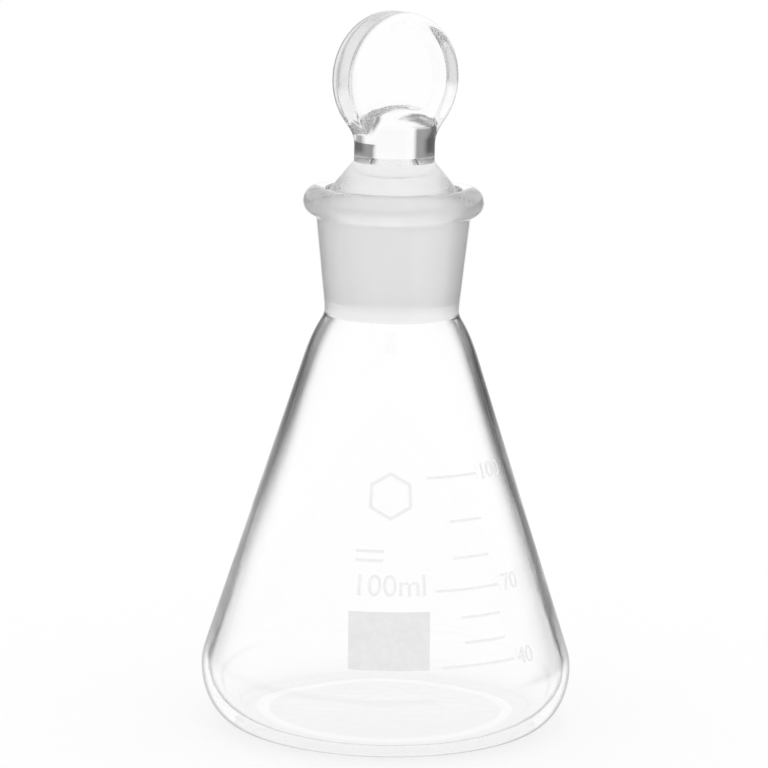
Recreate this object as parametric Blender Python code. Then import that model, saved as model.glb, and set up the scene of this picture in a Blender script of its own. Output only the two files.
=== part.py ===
"""A 100 ml conical (Erlenmeyer) flask with a ground socket neck and a penny-head stopper.

Metres, +Z up. The flask stands on the plane z = 0 and its axis is the Z axis. Azimuths are
measured about that axis from the front, which faces -Y, and grow towards +X.

The vessel is a blown conical body and a ground socket neck, which are flame-sealed to each
other. The stopper is one pressed piece that lifts straight up out of the socket. Everything
else is white enamel, fired on the outside of the cone: a writing patch, the capacity, a plain
hexagon, and a scale whose lines stand where the body holds their volume.
"""

import math

import bmesh
import bpy
from mathutils import Matrix, Vector

# The conical body
BODY_RADIUS = 0.0330
BASE_RADIUS = 0.0258  # outer edge of the flat ring that the flask stands on
BASE_RING_WIDTH = 0.0046
BASE_PUSH_UP = 0.0010  # how far the middle of the base is raised
HEEL_HEIGHT = 0.01015  # height of the widest part
HEEL_ARC = 0.0100  # radius of the curve from the heel into the cone
CONE_ANGLE = math.radians(18)  # between the cone and the axis
CONE_TOP = 0.0661
WAIST = (0.01195, 0.0733)  # radius and height where the body meets the neck
WALL = 0.0016
FLOOR = 0.0027

# The socket neck, a size 24 taper of 1 in 10
RIM_TOP = 0.0961
JOINT_RADIUS = 0.0120  # at the top of the rim
TAPER = 0.05  # change of radius per unit of height
MOUTH = 0.0955  # where the rim's rounding meets the taper
NECK_FOOT_RADIUS = 0.01185
NECK_FOOT_HEIGHT = 0.0010
NECK_TOP = (0.0135, 0.0900)  # outside, under the bead
BEAD_RADIUS = 0.00262
BEAD_CENTRE = (0.0133, 0.09350)
BEAD_END = math.radians(112)  # where its round section gives way to the mouth

# The stopper
PLUG_BOTTOM = 0.0760
PLUG_CHAMFER = 0.0006
SHOULDER_FOOT = 0.0945  # just inside the mouth
SHOULDER_ROUNDING = 0.0005
SHOULDER_TOP = 0.1005
STEM_RADIUS = 0.0071
STEM_STRAIGHT_TOP = 0.1067
STEM_DOME_TOP = 0.1096
HEAD_RADIUS = 0.01165
HEAD_THICKNESS = 0.0072
HEAD_EDGE_ROUNDING = 0.0012
HEAD_RIM_WIDTH = 0.0009
HEAD_RECESS = 0.0004  # how far the middle of each face lies below its rim
HEAD_CENTRE_Z = 0.1151
HEAD_TURN = math.radians(35)  # of the face, from the front towards +X

# The enamel
ENAMEL = 0.0003
LINE_HEIGHT = 0.0004
PATCH_SIZE = (0.0141, 0.0100)  # along the curve, and along the slope
PATCH_HEIGHT = 0.0214  # of its middle above the table
MARKS_AZIMUTH = math.radians(1)  # of the middle of the marks on the front
CAPACITY_TEXT = "100ml"
CAPACITY_HEIGHT = 0.0303
CAPACITY_START = math.radians(-13)
CAPACITY_LETTER = 0.0053
BAR_SIZE = (0.0048, 0.0005)
BAR_AZIMUTH = math.radians(-7)
BAR_HEIGHTS = (0.0346, 0.0361)
HEXAGON_HEIGHT = 0.0452
HEXAGON_RADIUS = 0.0042
HEXAGON_BAR = 0.0006
NUMBERED_VOLUMES = (40, 70, 100)  # millilitres
PLAIN_VOLUMES = (50, 60, 80, 90)
LONG_LINE = (math.radians(18), math.radians(45))
SHORT_LINE = (math.radians(27), math.radians(43))
NUMBER_START = math.radians(47)
NUMBER_LETTER = 0.0042

GAP = 0.0003  # between pieces that touch
SEGMENTS = 40
MILLILITRE = 1e-6


def arc(centre, radii, first, last, steps):
    """Points of an elliptical arc in the plane of an outline, its angles from +radius to +height."""
    points = []
    for step in range(steps + 1):
        angle = first + (last - first) * step / steps
        radius = centre[0] + radii[0] * math.cos(angle)
        points.append((radius, centre[1] + radii[1] * math.sin(angle)))
    return points


def curve_between(start, pull, end, steps):
    """Points of a quadratic curve after start, drawn towards pull, as far as end."""
    points = []
    for step in range(1, steps + 1):
        t = step / steps
        weights = ((1 - t) ** 2, 2 * t * (1 - t), t * t)
        points.append(tuple(sum(w * p[i] for w, p in zip(weights, (start, pull, end))) for i in (0, 1)))
    return points


def cone_radius(height):
    """The outside of the straight cone at a height."""
    foot_radius = BODY_RADIUS - HEEL_ARC * (1 - math.cos(CONE_ANGLE))
    foot_height = HEEL_HEIGHT + HEEL_ARC * math.sin(CONE_ANGLE)
    return foot_radius - (height - foot_height) * math.tan(CONE_ANGLE)


def raised_base(lift):
    """The base from its raised middle to the ring it stands on, or the inside floor a lift above it."""
    middle = (0.0, lift + BASE_PUSH_UP)
    ring_inside = BASE_RADIUS - BASE_RING_WIDTH
    return [middle] + curve_between(middle, (ring_inside * 0.7, middle[1]), (ring_inside, lift), 3)


def body_side(inset):
    """The outside of the body from the ring it stands on up to the waist, or its inside.

    inset holds the glass taken off at the floor, along the cone and at the neck; zeros give the
    outside.
    """
    floor, wall, neck = inset
    base_centre = (BASE_RADIUS - wall, HEEL_HEIGHT)
    base_radii = (BODY_RADIUS - BASE_RADIUS, HEEL_HEIGHT - floor)
    points = arc(base_centre, base_radii, -math.pi / 2, 0, 6)
    heel_centre = (BODY_RADIUS - HEEL_ARC, HEEL_HEIGHT)
    heel_radii = (HEEL_ARC - wall, HEEL_ARC - wall)
    points += arc(heel_centre, heel_radii, 0, CONE_ANGLE, 2)[1:]
    cone_end = (cone_radius(CONE_TOP) - wall / math.cos(CONE_ANGLE), CONE_TOP)
    points.append(cone_end)
    pull_height = CONE_TOP + 0.6 * (WAIST[1] - CONE_TOP)
    pull = (cone_end[0] - (pull_height - CONE_TOP) * math.tan(CONE_ANGLE), pull_height)
    waist = (WAIST[0] - neck, WAIST[1])
    points += curve_between(cone_end, pull, waist, 3)
    return points


def bore_radius(height):
    """The inside of the socket's taper, carried down to any height."""
    return JOINT_RADIUS - TAPER * (RIM_TOP - height)


OUTSIDE = raised_base(0.0) + body_side((0.0, 0.0, 0.0))
INSIDE = raised_base(FLOOR) + body_side((FLOOR, WALL, WAIST[0] - bore_radius(WAIST[1])))


def height_of_volume(millilitres):
    """How high the body is filled by a volume, from its inside outline.

    The outline starts at the raised middle of the floor and falls to the ring, which counts the
    raised part as volume taken away.
    """
    left = millilitres * MILLILITRE
    steps = 40
    for (r0, z0), (r1, z1) in zip(INSIDE, INSIDE[1:]):
        for step in range(steps):
            radius = r0 + (r1 - r0) * (step + 0.5) / steps
            slice_volume = math.pi * radius**2 * (z1 - z0) / steps
            if left < slice_volume:
                return z0 + (z1 - z0) * (step + left / slice_volume) / steps
            left -= slice_volume
    raise ValueError(f"the body doesn't hold {millilitres} ml")


def material(name, colour, roughness, transmission):
    made = bpy.data.materials.new(name)
    made.use_nodes = True
    shader = made.node_tree.nodes["Principled BSDF"]
    shader.inputs["Base Color"].default_value = (*colour, 1.0)
    shader.inputs["Roughness"].default_value = roughness
    shader.inputs["Metallic"].default_value = 0.0
    shader.inputs["Transmission Weight"].default_value = transmission
    made.diffuse_color = (*colour, 1.0)
    return made


def add_object(name, mesh, made_of):
    """Turn a bmesh into a named object with its faces pointing out."""
    bmesh.ops.recalc_face_normals(mesh, faces=mesh.faces)
    data = bpy.data.meshes.new(name)
    mesh.to_mesh(data)
    mesh.free()
    data.shade_smooth()
    data.set_sharp_from_angle(angle=math.radians(35))
    data.materials.append(made_of)
    made = bpy.data.objects.new(name, data)
    bpy.context.scene.collection.objects.link(made)
    return made


def turned(name, outline, made_of, closed=False):
    """Turn an outline of (radius, height) points about Z. A closed outline makes a ring."""
    mesh = bmesh.new()
    rings = []
    for radius, height in outline:
        corners = 1 if radius == 0 else SEGMENTS
        turns = [2 * math.pi * i / SEGMENTS for i in range(corners)]
        rings.append([mesh.verts.new((radius * math.cos(a), radius * math.sin(a), height)) for a in turns])
    pairs = list(zip(rings, rings[1:]))
    if closed:
        pairs.append((rings[-1], rings[0]))
    for lower, upper in pairs:
        for i in range(SEGMENTS):
            j = (i + 1) % SEGMENTS
            corners = [ring[k % len(ring)] for ring, k in ((lower, i), (lower, j), (upper, j), (upper, i))]
            mesh.faces.new(list(dict.fromkeys(corners)))
    return add_object(name, mesh, made_of)


def flask_body(glass):
    """The blown conical body: a raised base, a flat ring to stand on, a heel, a cone and a waist."""
    return turned("flask_body", OUTSIDE + INSIDE[::-1], glass)


def socket_neck(glass):
    """The neck's ground taper inside, and its wall and heavy round bead outside."""
    foot = WAIST[1] + GAP
    bead_joins = math.acos((NECK_TOP[0] - BEAD_CENTRE[0]) / BEAD_RADIUS)
    bead = arc(BEAD_CENTRE, (BEAD_RADIUS, BEAD_RADIUS), -bead_joins, BEAD_END, 9)
    outline = [(bore_radius(foot), foot), (NECK_FOOT_RADIUS, foot)]
    outline += [(NECK_FOOT_RADIUS, foot + NECK_FOOT_HEIGHT), *bead, (bore_radius(MOUTH), MOUTH)]
    return turned("socket_neck", outline, glass, closed=True)


def penny_head(glass):
    """A guide for the union: the round, flat head, turned about its own axis and stood on edge."""
    half = HEAD_THICKNESS / 2
    face_edge = HEAD_RADIUS - HEAD_EDGE_ROUNDING
    recess_edge = face_edge - HEAD_RIM_WIDTH
    rounding = (HEAD_EDGE_ROUNDING, HEAD_EDGE_ROUNDING)
    side = [(0.0, half - HEAD_RECESS), (recess_edge, half - HEAD_RECESS), (recess_edge + HEAD_RECESS, half)]
    side += arc((face_edge, half - HEAD_EDGE_ROUNDING), rounding, math.pi / 2, 0, 3)
    other_side = [(radius, -height) for radius, height in side]
    head = turned("penny_head_guide", side + other_side[::-1], glass)
    stand_on_edge = Matrix.Rotation(math.pi / 2, 4, "X")
    head.matrix_world = (
        Matrix.Translation((0, 0, HEAD_CENTRE_Z)) @ Matrix.Rotation(HEAD_TURN, 4, "Z") @ stand_on_edge
    )
    head.hide_render = True
    head.display_type = "WIRE"
    return head


def stopper(glass):
    """The ground plug, shoulder and stem, turned in one piece, and joined to the penny head."""
    plug_top = bore_radius(SHOULDER_FOOT) - GAP
    plug_foot = bore_radius(PLUG_BOTTOM) - GAP
    outline = [(0.0, PLUG_BOTTOM), (plug_foot - PLUG_CHAMFER, PLUG_BOTTOM)]
    outline += [(plug_foot, PLUG_BOTTOM + PLUG_CHAMFER), (plug_top, SHOULDER_FOOT)]
    outline.append((plug_top - SHOULDER_ROUNDING, SHOULDER_FOOT + SHOULDER_ROUNDING * 1.5))
    outline += [(STEM_RADIUS, SHOULDER_TOP), (STEM_RADIUS, STEM_STRAIGHT_TOP)]
    dome = (STEM_RADIUS, STEM_DOME_TOP - STEM_STRAIGHT_TOP)
    outline += arc((0.0, STEM_STRAIGHT_TOP), dome, 0, math.radians(68), 3)[1:]
    outline.append((0.0, STEM_DOME_TOP))
    made = turned("stopper", outline, glass)
    union = made.modifiers.new("join the head", "BOOLEAN")
    union.operation = "UNION"
    union.solver = "EXACT"
    union.object = penny_head(glass)
    return made


def on_cone(azimuth, height, lift):
    """A point over the outside of the cone, lifted off it along its slope's normal."""
    radius = cone_radius(height) + lift / math.cos(CONE_ANGLE)
    return Vector((radius * math.sin(azimuth), -radius * math.cos(azimuth), height))


def enamel_band(name, foot, top, enamel):
    """A patch of enamel between two edges, each given as (first azimuth, last azimuth, height)."""
    mesh = bmesh.new()
    steps = max(2, math.ceil((foot[1] - foot[0]) / math.radians(4.5)))
    sections = []
    for step in range(steps + 1):
        section = []
        for edge, lift in ((foot, GAP), (top, GAP), (top, GAP + ENAMEL), (foot, GAP + ENAMEL)):
            azimuth = edge[0] + (edge[1] - edge[0]) * step / steps
            section.append(mesh.verts.new(on_cone(azimuth, edge[2], lift)))
        sections.append(section)
    for one, other in zip(sections, sections[1:]):
        for i in range(4):
            j = (i + 1) % 4
            mesh.faces.new((one[i], one[j], other[j], other[i]))
    mesh.faces.new(sections[0])
    mesh.faces.new(sections[-1])
    return add_object(name, mesh, enamel)


def enamel_block(name, azimuth, height, size, enamel):
    """A patch of enamel of a given size, along the curve and along the slope, about its middle."""
    edges = []
    for side in (-1, 1):
        edge_height = height + side * size[1] / 2 * math.cos(CONE_ANGLE)
        half_turn = size[0] / 2 / cone_radius(edge_height)
        edges.append((azimuth - half_turn, azimuth + half_turn, edge_height))
    return enamel_band(name, *edges, enamel)


def scale_line(volume, azimuths, enamel):
    height = height_of_volume(volume)
    foot = (*azimuths, height - LINE_HEIGHT / 2)
    top = (*azimuths, height + LINE_HEIGHT / 2)
    return enamel_band(f"scale_line_{volume}ml", foot, top, enamel)


def hexagon(enamel):
    """A plain hexagon: one ring between an outer and an inner six-sided outline."""
    mesh = bmesh.new()
    loops = []
    for radius in (HEXAGON_RADIUS, HEXAGON_RADIUS - HEXAGON_BAR):
        for lift in (GAP, GAP + ENAMEL):
            loop = []
            for corner in range(6):
                angle = math.radians(30 + 60 * corner)
                turn = MARKS_AZIMUTH + radius * math.cos(angle) / cone_radius(HEXAGON_HEIGHT)
                height = HEXAGON_HEIGHT + radius * math.sin(angle) * math.cos(CONE_ANGLE)
                loop.append(mesh.verts.new(on_cone(turn, height, lift)))
            loops.append(loop)
    outer_under, outer_over, inner_under, inner_over = loops
    rounds = (outer_under, outer_over, inner_over, inner_under, outer_under)
    for one, other in zip(rounds, rounds[1:]):
        for i in range(6):
            j = (i + 1) % 6
            mesh.faces.new((one[i], one[j], other[j], other[i]))
    return add_object("hexagon", mesh, enamel)


def flat_text(text, size):
    """A line of text as a mesh of solid characters in the XY plane."""
    shape = bpy.data.curves.new(text, "FONT")
    shape.body = text
    shape.size = size
    shape.extrude = ENAMEL / 2
    shape.resolution_u = 2
    shape.align_y = "CENTER"
    flat = bpy.data.objects.new(text, shape)
    bpy.context.scene.collection.objects.link(flat)
    data = bpy.data.meshes.new_from_object(flat.evaluated_get(bpy.context.evaluated_depsgraph_get()))
    mesh = bmesh.new()
    mesh.from_mesh(data)
    bpy.data.objects.remove(flat)
    bpy.data.meshes.remove(data)
    bmesh.ops.remove_doubles(mesh, verts=mesh.verts, dist=1e-6)
    return mesh


def separate_characters(mesh):
    """The mesh's loose parts, from left to right, each a list of faces."""
    parts = []
    left = set(mesh.faces)
    while left:
        part = {left.pop()}
        edge_of = list(part)
        while edge_of:
            for edge in edge_of.pop().edges:
                reached = left.intersection(edge.link_faces)
                left -= reached
                part |= reached
                edge_of.extend(reached)
        parts.append(part)
    return sorted(parts, key=lambda faces: min(vertex.co.x for face in faces for vertex in face.verts))


def lettering(name, text, start, height, size, enamel):
    """Upright characters laid on the cone from an azimuth rightwards, each a piece of its own."""
    flat = flat_text(text, size)
    for place, faces in enumerate(separate_characters(flat)):
        character = bmesh.new()
        copies = {}
        for face in faces:
            for vertex in face.verts:
                if vertex not in copies:
                    across, up, out = vertex.co
                    turn = start + across / cone_radius(height)
                    place_up = height + up * math.cos(CONE_ANGLE)
                    copies[vertex] = character.verts.new(on_cone(turn, place_up, GAP + ENAMEL / 2 + out))
            character.faces.new([copies[vertex] for vertex in face.verts])
        add_object(f"{name}_{place + 1}", character, enamel)
    flat.free()


def build():
    for old in list(bpy.data.objects):
        bpy.data.objects.remove(old)
    glass = material("clear glass", (0.97, 0.98, 0.98), 0.02, 1.0)
    ground_glass = material("ground glass", (0.93, 0.94, 0.94), 0.45, 1.0)
    enamel = material("white enamel", (0.88, 0.88, 0.87), 0.40, 0.0)
    flask_body(glass)
    socket_neck(ground_glass)
    stopper(glass)
    enamel_block("writing_patch", MARKS_AZIMUTH, PATCH_HEIGHT, PATCH_SIZE, enamel)
    lettering("capacity", CAPACITY_TEXT, CAPACITY_START, CAPACITY_HEIGHT, CAPACITY_LETTER, enamel)
    for place, height in enumerate(BAR_HEIGHTS):
        enamel_block(f"plain_bar_{place + 1}", BAR_AZIMUTH, height, BAR_SIZE, enamel)
    hexagon(enamel)
    for volume in NUMBERED_VOLUMES:
        scale_line(volume, LONG_LINE, enamel)
        height = height_of_volume(volume)
        lettering(f"number_{volume}ml", str(volume), NUMBER_START, height, NUMBER_LETTER, enamel)
    for volume in PLAIN_VOLUMES:
        scale_line(volume, SHORT_LINE, enamel)


build()
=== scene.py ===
"""Looks for the 100 ml conical flask with its ground stopper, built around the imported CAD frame.

Metres, +Z up. The flask stands on z = 0, its axis is the Z axis and its front faces -Y. Azimuths
are measured from the front and grow towards +X, where the scale is.
"""

import math

import bmesh
import bpy
import numpy as np
from mathutils import Matrix, Vector, noise


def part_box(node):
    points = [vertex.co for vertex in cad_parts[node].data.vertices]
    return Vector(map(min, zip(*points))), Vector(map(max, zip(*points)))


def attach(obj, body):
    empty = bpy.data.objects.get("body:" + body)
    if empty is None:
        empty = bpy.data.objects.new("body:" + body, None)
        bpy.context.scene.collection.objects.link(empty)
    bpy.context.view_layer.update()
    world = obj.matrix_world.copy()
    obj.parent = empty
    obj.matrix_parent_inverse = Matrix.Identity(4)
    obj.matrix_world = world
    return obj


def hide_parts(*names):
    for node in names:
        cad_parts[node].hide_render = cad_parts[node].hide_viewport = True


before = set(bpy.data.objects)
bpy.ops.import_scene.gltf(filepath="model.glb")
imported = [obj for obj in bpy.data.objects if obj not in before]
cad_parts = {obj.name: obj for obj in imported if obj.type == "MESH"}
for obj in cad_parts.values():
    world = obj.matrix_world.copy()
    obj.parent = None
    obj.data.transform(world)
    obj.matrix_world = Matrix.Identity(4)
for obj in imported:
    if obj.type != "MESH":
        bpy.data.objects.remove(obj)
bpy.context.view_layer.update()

# Sizes that the frame gives
BODY_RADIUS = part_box("flask_body")[1].x
WAIST_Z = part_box("flask_body")[1].z
STOPPER_BOTTOM, STOPPER_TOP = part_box("stopper")[0].z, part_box("stopper")[1].z

# The conical body: its outside is the CAD's, but its wall and floor are drawn thinner and the
# push-up of its base lower, because the edges and the bottom of the real glass look thinner
BASE_RADIUS = 0.0258
BASE_RING_WIDTH = 0.0046
BASE_PUSH_UP = 0.0006
HEEL_HEIGHT = 0.01015
HEEL_ARC = 0.0100
CONE_ANGLE = math.radians(18)
CONE_TOP = 0.0661
WAIST_RADIUS = 0.01195
WALL = 0.0012
FLOOR = 0.0014
WAVE_DEPTH = 0.00006  # of the inside surface
WAVE_SCALE = 2.2
WAVES_ALONG = 30.0  # turns a height into the same measure as a direction

# The socket neck, as in the CAD
RIM_TOP = 0.0961
JOINT_RADIUS = 0.0120
TAPER = 0.05
MOUTH = 0.0955
NECK_FOOT_RADIUS = 0.01185
NECK_FOOT_TOP = WAIST_Z + 0.0013
NECK_TOP = (0.0135, 0.0900)
BEAD_RADIUS = 0.00262
BEAD_CENTRE = (0.0133, 0.09350)
GROUND_FOOT = WAIST_Z + 0.0002  # lowest point of the ground zone
BEAD_END = math.radians(112)
CORNER_REACH = 0.0022  # corners whose neighbours are nearer than this to each other are eased
CORNER_ROUNDS = 3

# The stopper, as in the CAD but with softer corners and a narrower gap round the plug
PLUG_CLEARANCE = 0.00004
SHOULDER_TOP = 0.1005
SHOULDER_FOOT = 0.0945
SHOULDER_ROUNDING = 0.0005
STEM_RADIUS = 0.0071
STEM_STRAIGHT_TOP = 0.1067
STEM_DOME_TOP = 0.1096
HEAD_RADIUS = 0.01165
HEAD_THICKNESS = 0.0072
HEAD_EDGE_ROUNDING = 0.0015
HEAD_RIM_WIDTH = 0.0009
HEAD_RECESS = 0.0003
RECESS_SLOPE = (-0.0012, 0.0008)  # where the recess is full and where it ends, from its edge
HEAD_CENTRE_Z = STOPPER_TOP - HEAD_RADIUS
HEAD_TURN = math.radians(35)
PLUG_EASE = 0.0004  # rounding of the turned part's corners
FILLET = 0.0020  # between head and stem
STOPPER_VOXEL = 0.0002
DRAWING_ROUNDS = 6
LEAST_SLOPE = 0.05  # the least squared slope that a step is divided by
RIM_DEPTH = 0.0002  # how far inside its outline a part of the stopper still is its outside
GROUND_DEPTH = 0.0005
GROUND_START = 0.0004  # above the plug's foot
STEM_START = 0.0003  # above the shoulder's top
STEM_MARGIN = 0.0002
HEAD_MARGIN = 0.0006

# The enamel, as in the CAD but lying on the glass
ENAMEL_LIFT = 0.00003
ENAMEL = 0.00005
PATCH_SIZE = (0.0141, 0.0100)
MARKS_AZIMUTH = math.radians(1)
CAPACITY_TEXT = "100ml"
CAPACITY_START = math.radians(-13)
CAPACITY_HEIGHT = 0.0303
CAPACITY_LETTER = 0.0053
BAR_SIZE = (0.0048, 0.0005)
BAR_AZIMUTH = math.radians(-7)
HEXAGON_RADIUS = 0.0042
HEXAGON_BAR = 0.0006
LINE_HEIGHT = 0.0004
NUMBERED_VOLUMES = (40, 70, 100)
PLAIN_VOLUMES = (50, 60, 80, 90)
LONG_LINE = (math.radians(18), math.radians(45))
SHORT_LINE = (math.radians(27), math.radians(43))
NUMBER_START = math.radians(47)
NUMBER_LETTER = 0.0042
BAND_STEP = math.radians(0.8)
HEXAGON_CUTS = 8  # along each side
LETTER_STRIP = 0.0004

# The camera
CAMERA_DISTANCE = 0.66945
CAMERA_HEIGHT = 0.17915
CAMERA_PITCH = 0.17488
CAMERA_YAW = -0.00170
CAMERA_ROLL = 0.0170
CAMERA_LENS_MM = 180.05

# The studio
MIRRORED_TONE = 0.16
RIGHT_DARKER = 0.14
PANELS = (  # degrees: direction from +X, half widths where a panel ends and is full; its strength
    (-25, 42, 22, 0.85),
    (90, 24, 12, 0.85),
    (165, 30, 12, 0.60),
)
FAR_WALLS = 5.5  # surfaces that light has gone through beyond which the mirrored room is ignored
FLOOR_SIZE = 6.0
FLOOR_MATT = 0.20
LIT_FLOOR = (0.05, 0.22)  # distances from the flask between which the table's light fades out
LIT_SKY = (-0.02, 0.15)  # heights on a unit sphere between which the light overhead begins

LONGEST_PATH = 32  # bounces of light: thick glass passes it on many times

TURN_STEPS = 256

# The glass. A painted edge shade is painted shade in the glass's colour, standing in for the dark
# edges of glass on a light ground: where it starts and ends between face on (0) and edge on (1),
# its tone, the four heights between which it comes and goes, and the radii between which it comes.
GLASS_IOR = 1.474
ANY_RADIUS = (-0.2, -0.1)
ABOVE_ALL = (0.2, 0.3)
BELOW_ALL = (-0.2, -0.1)
# Painted shade: a darker glass colour at the cone's edges, the heel, the head and the stem.
CONE_PAINTED_SHADE = (0.50, 0.74, 0.02, (0.020, 0.060, WAIST_Z + 0.0004, WAIST_Z + 0.001), ANY_RADIUS)
HEEL_PAINTED_SHADE = (0.75, 0.88, 0.04, (*BELOW_ALL, 0.015, 0.035), (0.0240, 0.0256))
HEAD_PAINTED_SHADE = (0.55, 0.85, 0.30, (0.1015, 0.1060, *ABOVE_ALL), ANY_RADIUS)
STEM_PAINTED_SHADE = (0.10, 0.18, 0.10, (0.1006, 0.1020, 0.1066, 0.1076), ANY_RADIUS)
VESSEL_WAVES = 0.06
# Painted shade: the socket's ground glass is painted darker below the foot's heights.
GROUND_SOCKET = (1.0, 1.22, (0.86, 0.0757, 0.0763))  # tone, IOR, and the foot's tone and heights
GROUND_PLUG = (0.95, 1.42)  # tone and IOR
PATCH_TONES = (0.79, 0.84)
LINE_TONES = (0.86, 0.91)


# Materials

def new_material(name):
    """A material, its node tree and its shader."""
    made = bpy.data.materials.new(name)
    made.use_nodes = True
    shader = made.node_tree.nodes["Principled BSDF"]
    return made, made.node_tree, shader


def math_node(tree, operation, one, other):
    """A Math node's result. Each input is a number or another node's socket."""
    node = tree.nodes.new("ShaderNodeMath")
    node.operation = operation
    for socket, value in zip(node.inputs, (one, other)):
        if isinstance(value, float):
            socket.default_value = value
        else:
            tree.links.new(value, socket)
    return node.outputs["Value"]


def vector_node(tree, operation, one, other=None):
    """A Vector Math node. one is a socket, and other three numbers."""
    node = tree.nodes.new("ShaderNodeVectorMath")
    node.operation = operation
    tree.links.new(one, node.inputs[0])
    if other:
        node.inputs[1].default_value = other
    return node


def levelled(tree, vector):
    """A vector without its height."""
    return vector_node(tree, "MULTIPLY", vector, (1.0, 1.0, 0.0)).outputs["Vector"]


def part_of(tree, vector, axis):
    parts = tree.nodes.new("ShaderNodeSeparateXYZ")
    tree.links.new(vector, parts.inputs["Vector"])
    return parts.outputs[axis]


def object_place(tree):
    """Where a point of the surface is, in the piece's own space."""
    return tree.nodes.new("ShaderNodeTexCoord").outputs["Object"]


def grey(tone):
    return (tone, tone, tone, 1.0)


def grey_between(tree, factor, low, high):
    """A grey between two tones."""
    blend = tree.nodes.new("ShaderNodeMix")
    blend.data_type = "RGBA"
    blend.inputs["A"].default_value = grey(low)
    blend.inputs["B"].default_value = grey(high)
    tree.links.new(factor, blend.inputs["Factor"])
    return blend.outputs["Result"]


def smooth_between(tree, value, low, high):
    """0 below low, 1 above high, and a smooth step between."""
    step = tree.nodes.new("ShaderNodeMapRange")
    step.interpolation_type = "SMOOTHSTEP"
    step.inputs["From Min"].default_value = low
    step.inputs["From Max"].default_value = high
    tree.links.new(value, step.inputs["Value"])
    return step.outputs["Result"]


def noise_value(tree, scale, detail, low, high):
    """A noise texture in object space, its middle part spread over a range of values."""
    texture = tree.nodes.new("ShaderNodeTexNoise")
    texture.inputs["Scale"].default_value = scale
    texture.inputs["Detail"].default_value = detail
    spread = tree.nodes.new("ShaderNodeMapRange")
    spread.inputs["From Min"].default_value = 0.3
    spread.inputs["From Max"].default_value = 0.7
    spread.inputs["To Min"].default_value = low
    spread.inputs["To Max"].default_value = high
    tree.links.new(object_place(tree), texture.inputs["Vector"])
    tree.links.new(texture.outputs["Fac"], spread.inputs["Value"])
    return spread.outputs["Result"]


def add_bump(tree, shader, height, strength, distance):
    bump = tree.nodes.new("ShaderNodeBump")
    bump.inputs["Strength"].default_value = strength
    bump.inputs["Distance"].default_value = distance
    tree.links.new(height, bump.inputs["Height"])
    tree.links.new(bump.outputs["Normal"], shader.inputs["Normal"])


def edge_tint(tree, start, end, tone, heights, radii):
    """Painted shade: white face on, and a darker colour where glass turns away, painted to stand
    in for the dark edges of glass on a light ground.

    heights are four: the tint begins between the first two and ends between the last two. Going
    out from the axis it begins between the two radii.
    """
    facing = tree.nodes.new("ShaderNodeLayerWeight")
    facing.inputs["Blend"].default_value = 0.5
    turned_away = smooth_between(tree, facing.outputs["Facing"], start, end)
    place = object_place(tree)
    height = part_of(tree, place, "Z")
    above = smooth_between(tree, height, *heights[:2])
    below = math_node(tree, "SUBTRACT", 1.0, smooth_between(tree, height, *heights[2:]))
    share = math_node(tree, "MULTIPLY", above, below)
    reach = vector_node(tree, "LENGTH", levelled(tree, place)).outputs["Value"]
    share = math_node(tree, "MULTIPLY", share, smooth_between(tree, reach, *radii))
    return grey_between(tree, math_node(tree, "MULTIPLY", turned_away, share), 1.0, tone)


def clear_glass(name, painted_shades, waves=0.0):
    """Borosilicate glass: clear, its colour darkened by painted edge shade where it turns away,
    and where waves are asked for, faint ones in its surface.
    """
    made, tree, shader = new_material(name)
    # Painted shade: the glass's colour is darkened where it turns away.
    colour = edge_tint(tree, *painted_shades[0])
    for one_painted_shade in painted_shades[1:]:
        both = tree.nodes.new("ShaderNodeMix")
        both.data_type = "RGBA"
        both.blend_type = "MULTIPLY"
        both.inputs["Factor"].default_value = 1.0
        tree.links.new(colour, both.inputs["A"])
        tree.links.new(edge_tint(tree, *one_painted_shade), both.inputs["B"])
        colour = both.outputs["Result"]
    tree.links.new(colour, shader.inputs["Base Color"])
    shader.inputs["Roughness"].default_value = 0.0
    shader.inputs["IOR"].default_value = GLASS_IOR
    shader.inputs["Transmission Weight"].default_value = 1.0
    if waves:
        height = noise_value(tree, scale=90.0, detail=2.0, low=0.0, high=1.0)
        add_bump(tree, shader, height, strength=waves, distance=0.0004)
    return made


def rim_glass():
    """The pressed rim of the stopper's head: its skin is slightly uneven, so it mirrors softly.
    Its grey colour is painted shade, which makes the rim darker than the rest of the glass.
    """
    made, tree, shader = new_material("rim glass")
    # Painted shade: a grey colour that darkens the clear glass of the rim.
    shader.inputs["Base Color"].default_value = grey(0.9)
    shader.inputs["IOR"].default_value = GLASS_IOR
    shader.inputs["Transmission Weight"].default_value = 1.0
    roughness = noise_value(tree, scale=400.0, detail=3.0, low=0.10, high=0.26)
    tree.links.new(roughness, shader.inputs["Roughness"])
    return made


def ground_glass(name, tone, ior, foot=None):
    """Fine-ground glass: a matt, light grey surface that lets blurred light through.

    foot is a painted shade tone and two heights: below the lower one the surface is painted that
    darker tone instead.
    """
    made, tree, shader = new_material(name)
    shader.inputs["Base Color"].default_value = grey(tone)
    # Painted shade: the surface is darker below the foot's heights.
    if foot:
        rise = smooth_between(tree, part_of(tree, object_place(tree), "Z"), *foot[1:])
        tree.links.new(grey_between(tree, rise, foot[0], tone), shader.inputs["Base Color"])
    shader.inputs["IOR"].default_value = ior
    shader.inputs["Transmission Weight"].default_value = 0.95
    roughness = noise_value(tree, scale=900.0, detail=3.0, low=0.32, high=0.46)
    tree.links.new(roughness, shader.inputs["Roughness"])
    grain = noise_value(tree, scale=6000.0, detail=2.0, low=0.0, high=1.0)
    add_bump(tree, shader, grain, strength=0.25, distance=0.00005)
    return made


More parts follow.
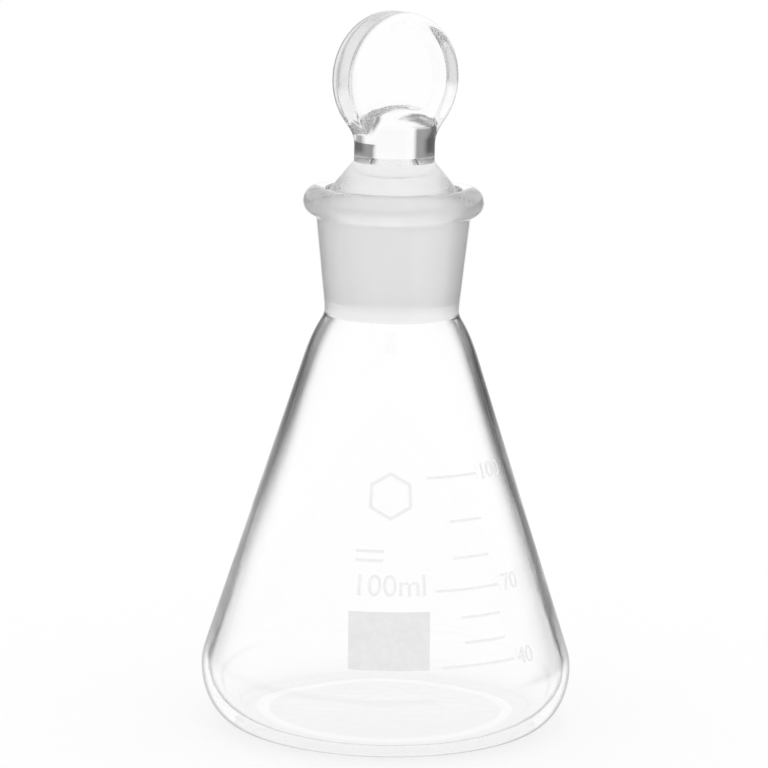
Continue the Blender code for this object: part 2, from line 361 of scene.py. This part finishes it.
def white_enamel(name, low, high):
    """Fired ceramic enamel: matt white, slightly uneven in colour and surface."""
    made, tree, shader = new_material(name)
    colour = noise_value(tree, scale=700.0, detail=4.0, low=0.0, high=1.0)
    tree.links.new(grey_between(tree, colour, low, high), shader.inputs["Base Color"])
    roughness = noise_value(tree, scale=2500.0, detail=3.0, low=0.38, high=0.52)
    tree.links.new(roughness, shader.inputs["Roughness"])
    grain = noise_value(tree, scale=5000.0, detail=3.0, low=0.0, high=1.0)
    add_bump(tree, shader, grain, strength=0.3, distance=0.00003)
    return made


# Outlines and turned meshes

def arc(centre, radii, first, last, steps):
    """Points of an elliptical arc, its angles from +radius to +height."""
    points = []
    for step in range(steps + 1):
        angle = first + (last - first) * step / steps
        across, up = radii[0] * math.cos(angle), radii[1] * math.sin(angle)
        points.append((centre[0] + across, centre[1] + up))
    return points


def straight(start, end, steps):
    """Points along a straight line, without its start."""
    across, up = end[0] - start[0], end[1] - start[1]
    shares = [step / steps for step in range(1, steps + 1)]
    return [(start[0] + across * share, start[1] + up * share) for share in shares]


def curve_between(start, pull, end, steps):
    """Points of a quadratic curve, without its start."""
    points = []
    for step in range(1, steps + 1):
        t = step / steps
        weighted = list(zip(((1 - t) ** 2, 2 * t * (1 - t), t * t), (start, pull, end)))
        points.append(tuple(sum(weight * point[i] for weight, point in weighted) for i in (0, 1)))
    return points


def softened(points, reach, rounds):
    """An outline with its corners eased: each point moves towards its neighbours' middle."""
    eased = [Vector(point) for point in points]
    for _ in range(rounds):
        moved = list(eased)
        for i in range(1, len(eased) - 1):
            if (eased[i + 1] - eased[i - 1]).length < reach:
                moved[i] = (eased[i - 1] + eased[i] * 2 + eased[i + 1]) / 4
        eased = moved
    return [tuple(point) for point in eased]


def cone_radius(height):
    """The outside of the straight cone at a height."""
    foot_radius = BODY_RADIUS - HEEL_ARC * (1 - math.cos(CONE_ANGLE))
    foot_height = HEEL_HEIGHT + HEEL_ARC * math.sin(CONE_ANGLE)
    return foot_radius - (height - foot_height) * math.tan(CONE_ANGLE)


def bore_radius(height):
    """The inside of the socket's taper, carried down to any height."""
    return JOINT_RADIUS - TAPER * (RIM_TOP - height)


def body_side(floor, wall, waist_radius):
    """The outside of the body from its base ring to the waist, or the inside."""
    under_heel = (BODY_RADIUS - BASE_RADIUS, HEEL_HEIGHT - floor)
    points = arc((BASE_RADIUS - wall, HEEL_HEIGHT), under_heel, -math.pi / 2, 0, steps=26)
    heel = HEEL_ARC - wall
    points += arc((BODY_RADIUS - HEEL_ARC, HEEL_HEIGHT), (heel, heel), 0, CONE_ANGLE, steps=8)[1:]
    cone_end = (cone_radius(CONE_TOP) - wall / math.cos(CONE_ANGLE), CONE_TOP)
    points += straight(points[-1], cone_end, steps=44)
    pull_height = CONE_TOP + 0.6 * (WAIST_Z - CONE_TOP)
    pull = (cone_end[0] - (pull_height - CONE_TOP) * math.tan(CONE_ANGLE), pull_height)
    return points + curve_between(cone_end, pull, (waist_radius, WAIST_Z), steps=12)


def raised_base(lift):
    """The base from its middle to the ring it stands on, or the inside floor over it."""
    ring_inside = BASE_RADIUS - BASE_RING_WIDTH
    points = []
    steps = 20
    for step in range(steps):
        share = step / steps
        height = lift + BASE_PUSH_UP * (0.5 + 0.5 * math.cos(math.pi * share))
        points.append((ring_inside * share, height))
    return points + [(ring_inside, lift)]


def flask_outline():
    """From the middle of the base, round the outside to the mouth, and down the inside again."""
    outline = raised_base(0.0)
    outline += straight(outline[-1], (BASE_RADIUS, 0.0), steps=4)[:-1]
    outline += body_side(0.0, 0.0, WAIST_RADIUS)
    neck_foot = [(NECK_FOOT_RADIUS, WAIST_Z + 0.0003), (NECK_FOOT_RADIUS, NECK_FOOT_TOP)]
    outline += neck_foot + straight(neck_foot[-1], NECK_TOP, steps=30)
    bead_joins = math.acos((NECK_TOP[0] - BEAD_CENTRE[0]) / BEAD_RADIUS)
    outline += arc(BEAD_CENTRE, (BEAD_RADIUS, BEAD_RADIUS), -bead_joins, BEAD_END, steps=36)
    bead_end, mouth = outline[-1], (bore_radius(MOUTH), MOUTH)
    outline += curve_between(bead_end, (JOINT_RADIUS, bead_end[1]), mouth, steps=6)
    outline = softened(outline, CORNER_REACH, CORNER_ROUNDS)
    inside = raised_base(FLOOR)
    inside += straight(inside[-1], (BASE_RADIUS - WALL, FLOOR), steps=4)[:-1]
    inside += body_side(FLOOR, WALL, bore_radius(WAIST_Z))
    inside += straight(inside[-1], mouth, steps=40)[:-1]
    return outline, softened(inside, CORNER_REACH, CORNER_ROUNDS)[::-1]


def turned_mesh(name, outline, materials, slot_of, shift=None):
    """Turn an outline that starts and ends on the axis about Z.

    slot_of gives a stretch of the outline its material, and shift moves a point in or out.
    """
    mesh = bmesh.new()
    rings = []
    for radius, height in outline:
        corners = 1 if radius < 1e-6 else TURN_STEPS
        ring = []
        for i in range(corners):
            turn = 2 * math.pi * i / TURN_STEPS
            reach = radius + (shift(len(rings), turn, height) if shift and corners > 1 else 0.0)
            ring.append(mesh.verts.new((reach * math.cos(turn), reach * math.sin(turn), height)))
        rings.append(ring)
    for place, (lower, upper) in enumerate(zip(rings, rings[1:])):
        slot = slot_of(place)
        for i in range(TURN_STEPS):
            j = (i + 1) % TURN_STEPS
            places = ((lower, i), (lower, j), (upper, j), (upper, i))
            corners = [ring[k % len(ring)] for ring, k in places]
            face = mesh.faces.new(list(dict.fromkeys(corners)))
            face.material_index = slot
            face.smooth = True
    bmesh.ops.recalc_face_normals(mesh, faces=mesh.faces)
    return linked_object(name, mesh, materials)


def linked_object(name, mesh, materials):
    """An object in the scene, made from a bmesh, which is freed."""
    data = bpy.data.meshes.new(name)
    mesh.to_mesh(data)
    mesh.free()
    for one in materials:
        data.materials.append(one)
    made = bpy.data.objects.new(name, data)
    bpy.context.scene.collection.objects.link(made)
    return made


# The vessel

def make_flask(glass, ground):
    """Body and socket neck as one skin, because the seal between them leaves no seam."""
    outside, inside = flask_outline()
    outline = outside + inside
    heights = [height for _, height in outline]

    def slot_of(place):
        middle = (heights[place] + heights[place + 1]) / 2
        return 1 if place >= len(outside) - 1 and GROUND_FOOT < middle < MOUTH else 0

    def waves(place, turn, height):
        """The inside of blown glass isn't a perfect cone: it waves by a few hundredths of a mm."""
        if place < len(outside) or height > GROUND_FOOT:
            return 0.0
        direction = Vector((math.cos(turn), math.sin(turn), height * WAVES_ALONG))
        return WAVE_DEPTH * noise.noise(direction * WAVE_SCALE)

    flask = turned_mesh("flask_glass", outline, (glass, ground), slot_of, waves)
    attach(flask, "flask")
    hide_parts("flask_body", "socket_neck")
    return flask


# The stopper

def smoothstep(value, low, high):
    """0 below low, 1 above high, and a smooth step between."""
    share = np.clip((value - low) / (high - low), 0.0, 1.0)
    return share * share * (3 - 2 * share)


def head_axes(x, y):
    """How far places are from the axis along the head's disc, and how far out of it."""
    across = x * math.cos(HEAD_TURN) + y * math.sin(HEAD_TURN)
    out = x * math.sin(HEAD_TURN) - y * math.cos(HEAD_TURN)
    return across, out


def head_distance(points):
    """Signed distance to the penny head: a disc on edge with rounded edges and recessed faces."""
    across, out = head_axes(points[:, 0], points[:, 1])
    up = points[:, 2] - HEAD_CENTRE_Z
    reach = np.hypot(across, up)
    recess_edge = HEAD_RADIUS - HEAD_EDGE_ROUNDING - HEAD_RIM_WIDTH
    slope_start, slope_end = (recess_edge + step for step in RECESS_SLOPE)
    recess = HEAD_RECESS * (1 - smoothstep(reach, slope_start, slope_end))
    half = HEAD_THICKNESS / 2 - recess
    x = reach - (HEAD_RADIUS - HEAD_EDGE_ROUNDING)
    y = np.abs(out) - (half - HEAD_EDGE_ROUNDING)
    outside = np.hypot(np.maximum(x, 0), np.maximum(y, 0))
    return outside + np.minimum(np.maximum(x, y), 0) - HEAD_EDGE_ROUNDING


def polygon_distance(x, y, corners):
    """Signed distance to a closed polygon in a plane, negative inside."""
    best = np.full(len(x), np.inf)
    inside = np.zeros(len(x), bool)
    for (ax, ay), (bx, by) in zip(corners, corners[1:] + corners[:1]):
        ex, ey = bx - ax, by - ay
        share = np.clip(((x - ax) * ex + (y - ay) * ey) / (ex * ex + ey * ey), 0, 1)
        best = np.minimum(best, np.hypot(x - ax - ex * share, y - ay - ey * share))
        crosses = (ay > y) != (by > y)
        level = np.where(crosses, (bx - ax) * (y - ay) / np.where(by == ay, 1, by - ay) + ax, 0)
        inside ^= crosses & (x < level)
    return np.where(inside, -best, best)


def plug_distance(points):
    """Signed distance to the turned plug, shoulder and domed stem, with eased corners."""
    ease = PLUG_EASE
    plug_foot = bore_radius(STOPPER_BOTTOM) - PLUG_CLEARANCE
    plug_top = bore_radius(SHOULDER_FOOT) - PLUG_CLEARANCE
    dome_size = (STEM_RADIUS - ease, STEM_DOME_TOP - STEM_STRAIGHT_TOP - ease)
    dome = arc((0.0, STEM_STRAIGHT_TOP), dome_size, 0, math.pi / 2, steps=14)
    right = [(plug_foot - ease, STOPPER_BOTTOM + ease), (plug_top - ease, SHOULDER_FOOT),
             (plug_top - SHOULDER_ROUNDING - ease, SHOULDER_FOOT + SHOULDER_ROUNDING * 1.5),
             (STEM_RADIUS - ease, SHOULDER_TOP), *dome]
    corners = right + [(-radius, height) for radius, height in right[::-1]]
    return polygon_distance(np.hypot(points[:, 0], points[:, 1]), points[:, 2], corners) - ease


def stopper_distance(points):
    """Signed distance to the whole stopper: the head runs into the stem in a soft fillet."""
    head, plug = head_distance(points), plug_distance(points)
    mix = np.clip(0.5 + 0.5 * (plug - head) / FILLET, 0, 1)
    return plug * (1 - mix) + head * mix - FILLET * mix * (1 - mix)


def slopes_of(points, step=2e-6):
    """The distance's gradient, by central differences."""
    parts = []
    for axis in np.eye(3) * step:
        rise = stopper_distance(points + axis) - stopper_distance(points - axis)
        parts.append(rise / (2 * step))
    return np.stack(parts, 1)


def stopper_slot(centre):
    """Which of clear glass, ground glass, the stem's glass and the rim's glass a face is."""
    reach = math.hypot(centre.x, centre.y)
    across, out = head_axes(centre.x, centre.y)
    disc_reach = math.hypot(across, centre.z - HEAD_CENTRE_Z)
    if centre.z > STEM_DOME_TOP and disc_reach > HEAD_RADIUS - RIM_DEPTH:
        return 3
    on_taper = STOPPER_BOTTOM + GROUND_START < centre.z < SHOULDER_FOOT
    if on_taper and reach > bore_radius(centre.z) - GROUND_DEPTH:
        return 1
    if centre.z > SHOULDER_TOP + STEM_START and reach < STEM_RADIUS + STEM_MARGIN:
        below_head = centre.z < HEAD_CENTRE_Z - HEAD_RADIUS + HEAD_MARGIN
        beside_head = centre.z < STEM_DOME_TOP and abs(out) > HEAD_THICKNESS / 2
        if below_head or beside_head:
            return 2
    return 0


def evaluated_mesh(shape):
    """A new mesh of an object with its modifiers, or of a text."""
    depsgraph = bpy.context.evaluated_depsgraph_get()
    return bpy.data.meshes.new_from_object(shape.evaluated_get(depsgraph))


def make_stopper(materials):
    """An even mesh of the CAD solid, drawn onto the smooth surface that the distances describe."""
    piece = bpy.data.objects.new("stopper_glass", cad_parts["stopper"].data.copy())
    bpy.context.scene.collection.objects.link(piece)
    remesh = piece.modifiers.new("even mesh", "REMESH")
    remesh.mode = "VOXEL"
    remesh.voxel_size = STOPPER_VOXEL
    data = evaluated_mesh(piece)
    piece.modifiers.clear()
    piece.data = data
    points = np.zeros(len(data.vertices) * 3)
    data.vertices.foreach_get("co", points)
    points = points.reshape(-1, 3)
    for _ in range(DRAWING_ROUNDS):
        slopes = slopes_of(points)
        size = np.maximum((slopes**2).sum(1), LEAST_SLOPE)
        points = points - slopes * (stopper_distance(points) / size)[:, None]
    data.vertices.foreach_set("co", points.ravel())
    data.materials.clear()
    for one in materials:
        data.materials.append(one)
    for face in data.polygons:
        face.material_index = stopper_slot(face.center)
    data.shade_smooth()
    slopes = slopes_of(points)
    data.normals_split_custom_set_from_vertices(slopes / np.linalg.norm(slopes, axis=1)[:, None])
    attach(piece, "stopper")
    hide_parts("stopper")
    return piece


# The enamel

def on_cone(azimuth, height, lift):
    """A point over the outside of the cone, lifted off it along its slope's normal."""
    radius = cone_radius(height) + lift / math.cos(CONE_ANGLE)
    return Vector((radius * math.sin(azimuth), -radius * math.cos(azimuth), height))


def middle_height(node):
    """The height of the middle of a CAD node."""
    low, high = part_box(node)
    return (low.z + high.z) / 2


def finish_enamel(mesh, node, enamel):
    """A piece of enamel that stands for one CAD node."""
    bmesh.ops.recalc_face_normals(mesh, faces=mesh.faces)
    made = linked_object(f"{node}_enamel", mesh, (enamel,))
    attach(made, "flask")
    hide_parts(node)
    return made


def enamel_band(node, foot, top, enamel):
    """Enamel between two edges, each given as (first azimuth, last azimuth, height)."""
    mesh = bmesh.new()
    steps = max(4, math.ceil((foot[1] - foot[0]) / BAND_STEP))
    sections = []
    for step in range(steps + 1):
        section = []
        for edge, lift in ((foot, 0.0), (top, 0.0), (top, ENAMEL), (foot, ENAMEL)):
            azimuth = edge[0] + (edge[1] - edge[0]) * step / steps
            section.append(mesh.verts.new(on_cone(azimuth, edge[2], ENAMEL_LIFT + lift)))
        sections.append(section)
    for one, other in zip(sections, sections[1:]):
        for i in range(4):
            j = (i + 1) % 4
            mesh.faces.new((one[i], one[j], other[j], other[i]))
    mesh.faces.new(sections[0])
    mesh.faces.new(sections[-1])
    return finish_enamel(mesh, node, enamel)


def enamel_block(node, azimuth, size, enamel):
    """A patch of a given size, along the curve and along the slope, where its CAD node is."""
    edges = []
    for side in (-1, 1):
        height = middle_height(node) + side * size[1] / 2 * math.cos(CONE_ANGLE)
        half_turn = size[0] / 2 / cone_radius(height)
        edges.append((azimuth - half_turn, azimuth + half_turn, height))
    return enamel_band(node, *edges, enamel)


def scale_line(volume, azimuths, enamel):
    """The line for a volume in ml, level with its CAD node."""
    node = f"scale_line_{volume}ml"
    height = middle_height(node)
    foot = (*azimuths, height - LINE_HEIGHT / 2)
    top = (*azimuths, height + LINE_HEIGHT / 2)
    return enamel_band(node, foot, top, enamel)


def hexagon(enamel):
    """A plain six-sided ring, its straight bars cut fine enough to follow the cone."""
    mesh = bmesh.new()
    centre_height = middle_height("hexagon")
    loops = []
    for radius in (HEXAGON_RADIUS, HEXAGON_RADIUS - HEXAGON_BAR):
        for lift in (0.0, ENAMEL):
            loop = []
            for place in range(6 * HEXAGON_CUTS):
                corner, cut = divmod(place, HEXAGON_CUTS)
                ends = [math.radians(30 + 60 * (corner + end)) for end in (0, 1)]
                weights = (1 - cut / HEXAGON_CUTS, cut / HEXAGON_CUTS)
                across = radius * sum(w * math.cos(end) for w, end in zip(weights, ends))
                up = radius * sum(w * math.sin(end) for w, end in zip(weights, ends))
                turn = MARKS_AZIMUTH + across / cone_radius(centre_height)
                height = centre_height + up * math.cos(CONE_ANGLE)
                loop.append(mesh.verts.new(on_cone(turn, height, ENAMEL_LIFT + lift)))
            loops.append(loop)
    outer_under, outer_over, inner_under, inner_over = loops
    rounds = (outer_under, outer_over, inner_over, inner_under, outer_under)
    for one, other in zip(rounds, rounds[1:]):
        for i in range(len(one)):
            j = (i + 1) % len(one)
            mesh.faces.new((one[i], one[j], other[j], other[i]))
    return finish_enamel(mesh, "hexagon", enamel)


def flat_text(text, size):
    """A line of text as solid characters in the XY plane, cut into narrow upright strips."""
    shape = bpy.data.curves.new(text, "FONT")
    shape.body = text
    shape.size = size
    shape.extrude = ENAMEL / 2
    shape.resolution_u = 6
    shape.align_y = "CENTER"
    flat = bpy.data.objects.new(text, shape)
    bpy.context.scene.collection.objects.link(flat)
    data = evaluated_mesh(flat)
    mesh = bmesh.new()
    mesh.from_mesh(data)
    bpy.data.objects.remove(flat)
    bpy.data.meshes.remove(data)
    bmesh.ops.remove_doubles(mesh, verts=mesh.verts, dist=1e-6)
    right = max(vertex.co.x for vertex in mesh.verts)
    for cut in range(1, math.ceil(right / LETTER_STRIP)):
        geometry = mesh.verts[:] + mesh.edges[:] + mesh.faces[:]
        place = (cut * LETTER_STRIP, 0, 0)
        bmesh.ops.bisect_plane(mesh, geom=geometry, plane_co=place, plane_no=(1, 0, 0))
    return mesh


def separate_characters(mesh):
    """The mesh's loose parts, from left to right, each a list of faces."""
    parts = []
    left = set(mesh.faces)
    while left:
        part = {left.pop()}
        edge_of = list(part)
        while edge_of:
            for edge in edge_of.pop().edges:
                reached = left.intersection(edge.link_faces)
                left -= reached
                part |= reached
                edge_of.extend(reached)
        parts.append(part)

    def left_end(faces):
        return min(vertex.co.x for face in faces for vertex in face.verts)

    return sorted(parts, key=left_end)


def lettering(name, text, start, height, size, enamel):
    """Upright characters laid on the cone from an azimuth rightwards, each for its CAD node."""
    flat = flat_text(text, size)
    for place, faces in enumerate(separate_characters(flat)):
        character = bmesh.new()
        copies = {}
        for face in faces:
            for vertex in face.verts:
                if vertex not in copies:
                    across, up, out = vertex.co
                    turn = start + across / cone_radius(height)
                    level = height + up * math.cos(CONE_ANGLE)
                    lift = ENAMEL_LIFT + ENAMEL / 2 + out
                    copies[vertex] = character.verts.new(on_cone(turn, level, lift))
            character.faces.new([copies[vertex] for vertex in face.verts])
        finish_enamel(character, f"{name}_{place + 1}", enamel)
    flat.free()


def make_enamel(patch_enamel, enamel):
    """All the marks on the front of the flask."""
    enamel_block("writing_patch", MARKS_AZIMUTH, PATCH_SIZE, patch_enamel)
    for place in (1, 2):
        enamel_block(f"plain_bar_{place}", BAR_AZIMUTH, BAR_SIZE, enamel)
    hexagon(enamel)
    lettering("capacity", CAPACITY_TEXT, CAPACITY_START, CAPACITY_HEIGHT, CAPACITY_LETTER, enamel)
    for volume in NUMBERED_VOLUMES:
        scale_line(volume, LONG_LINE, enamel)
        height = middle_height(f"scale_line_{volume}ml")
        lettering(f"number_{volume}ml", str(volume), NUMBER_START, height, NUMBER_LETTER, enamel)
    for volume in PLAIN_VOLUMES:
        scale_line(volume, SHORT_LINE, enamel)


# The studio

def studio_tone(tree, lit, direction):
    """How bright the white studio looks to a ray.

    It is full for the eye. A ray that glass has mirrored sees a darker room, as in a photo studio
    whose walls stay dark beyond the lit table, with soft panels at both sides and behind. The dark
    is deepest at the right. lit says from 0 to 1 how far its place belongs to the lit part, and
    direction points to the place. Behind a second wall the mirrored room doesn't count.
    """
    path = tree.nodes.new("ShaderNodeLightPath")
    mirrored = math_node(tree, "GREATER_THAN", path.outputs["Glossy Depth"], 0.5)
    far = math_node(tree, "GREATER_THAN", path.outputs["Transmission Depth"], FAR_WALLS)
    near = math_node(tree, "SUBTRACT", 1.0, far)
    level = vector_node(tree, "NORMALIZE", levelled(tree, direction)).outputs["Vector"]
    dark = 1.0
    for azimuth, edge, full, strength in PANELS:
        angle = math.radians(azimuth)
        middle = (math.cos(angle), math.sin(angle), 0.0)
        towards = vector_node(tree, "DOT_PRODUCT", level, middle).outputs["Value"]
        ends = (math.cos(math.radians(edge)), math.cos(math.radians(full)))
        panel = smooth_between(tree, towards, *ends)
        share = math_node(tree, "SUBTRACT", 1.0, math_node(tree, "MULTIPLY", panel, strength))
        dark = math_node(tree, "MULTIPLY", dark, share)
    side = math_node(tree, "MULTIPLY", part_of(tree, level, "X"), RIGHT_DARKER)
    depth = math_node(tree, "ADD", 1.0 - MIRRORED_TONE, side)
    depth = math_node(tree, "MULTIPLY", dark, depth)
    unlit = math_node(tree, "MULTIPLY", math_node(tree, "SUBTRACT", 1.0, lit), depth)
    counted = math_node(tree, "MULTIPLY", mirrored, near)
    return math_node(tree, "SUBTRACT", 1.0, math_node(tree, "MULTIPLY", counted, unlit))


def make_floor():
    """A wide light table: it shines evenly, and its small matt share takes the soft shadow."""
    mesh = bmesh.new()
    bmesh.ops.create_circle(mesh, cap_ends=True, radius=FLOOR_SIZE, segments=96)
    material, tree, shader = new_material("light table")
    shader.inputs["Base Color"].default_value = grey(FLOOR_MATT)
    shader.inputs["Roughness"].default_value = 1.0
    shader.inputs["Specular IOR Level"].default_value = 0.0
    shader.inputs["Emission Color"].default_value = grey(1.0)
    place = tree.nodes.new("ShaderNodeNewGeometry").outputs["Position"]
    distance = vector_node(tree, "LENGTH", place).outputs["Value"]
    lit = math_node(tree, "SUBTRACT", 1.0, smooth_between(tree, distance, *LIT_FLOOR))
    shine = math_node(tree, "MULTIPLY", studio_tone(tree, lit, place), 1.0 - FLOOR_MATT)
    tree.links.new(shine, shader.inputs["Emission Strength"])
    floor = linked_object("floor", mesh, (material,))


def make_world():
    """A white studio all round, its lit part overhead."""
    world = bpy.data.worlds.new("white studio")
    world.use_nodes = True
    bpy.context.scene.world = world
    tree = world.node_tree
    background = tree.nodes["Background"]
    background.inputs["Color"].default_value = grey(1.0)
    direction = tree.nodes.new("ShaderNodeTexCoord").outputs["Generated"]
    lit = smooth_between(tree, part_of(tree, direction, "Z"), *LIT_SKY)
    tree.links.new(studio_tone(tree, lit, direction), background.inputs["Strength"])


def make_camera():
    """The photograph's viewpoint: a long lens in front, a little above the stopper."""
    data = bpy.data.cameras.new("camera")
    data.lens = CAMERA_LENS_MM
    data.sensor_width = 36.0
    data.clip_start = 0.01
    data.clip_end = 50.0
    camera = bpy.data.objects.new("camera", data)
    bpy.context.scene.collection.objects.link(camera)
    level = Matrix.Rotation(math.pi / 2 - CAMERA_PITCH, 4, "X")
    turn = Matrix.Rotation(-CAMERA_YAW, 4, "Z")
    roll = Matrix.Rotation(CAMERA_ROLL, 4, "Z")
    place = Matrix.Translation((0, -CAMERA_DISTANCE, CAMERA_HEIGHT))
    camera.matrix_world = place @ turn @ level @ roll
    bpy.context.scene.camera = camera


def main():
    for leftover in ("Cube", "Light", "Camera"):
        if leftover in bpy.data.objects:
            bpy.data.objects.remove(bpy.data.objects[leftover])
    bpy.context.scene.view_settings.view_transform = "Standard"
    light_paths = bpy.context.scene.cycles
    light_paths.max_bounces = LONGEST_PATH
    light_paths.transmission_bounces = LONGEST_PATH
    light_paths.glossy_bounces = LONGEST_PATH
    make_camera()
    make_world()
    make_floor()
    ground_socket = ground_glass("ground socket", *GROUND_SOCKET)
    ground_plug = ground_glass("ground plug", *GROUND_PLUG)
    # The clear glass materials carry painted edge shade; the stem has its own copy for the stem's
    # painted shade.
    vessel_glass = clear_glass("vessel glass", (CONE_PAINTED_SHADE, HEEL_PAINTED_SHADE), VESSEL_WAVES)
    make_flask(vessel_glass, ground_socket)
    head_glass = clear_glass("stopper glass", (HEAD_PAINTED_SHADE,))
    stem_glass = clear_glass("stem glass", (STEM_PAINTED_SHADE,))
    make_stopper((head_glass, ground_plug, stem_glass, rim_glass()))
    patch_enamel = white_enamel("patch enamel", *PATCH_TONES)
    make_enamel(patch_enamel, white_enamel("line enamel", *LINE_TONES))


main()
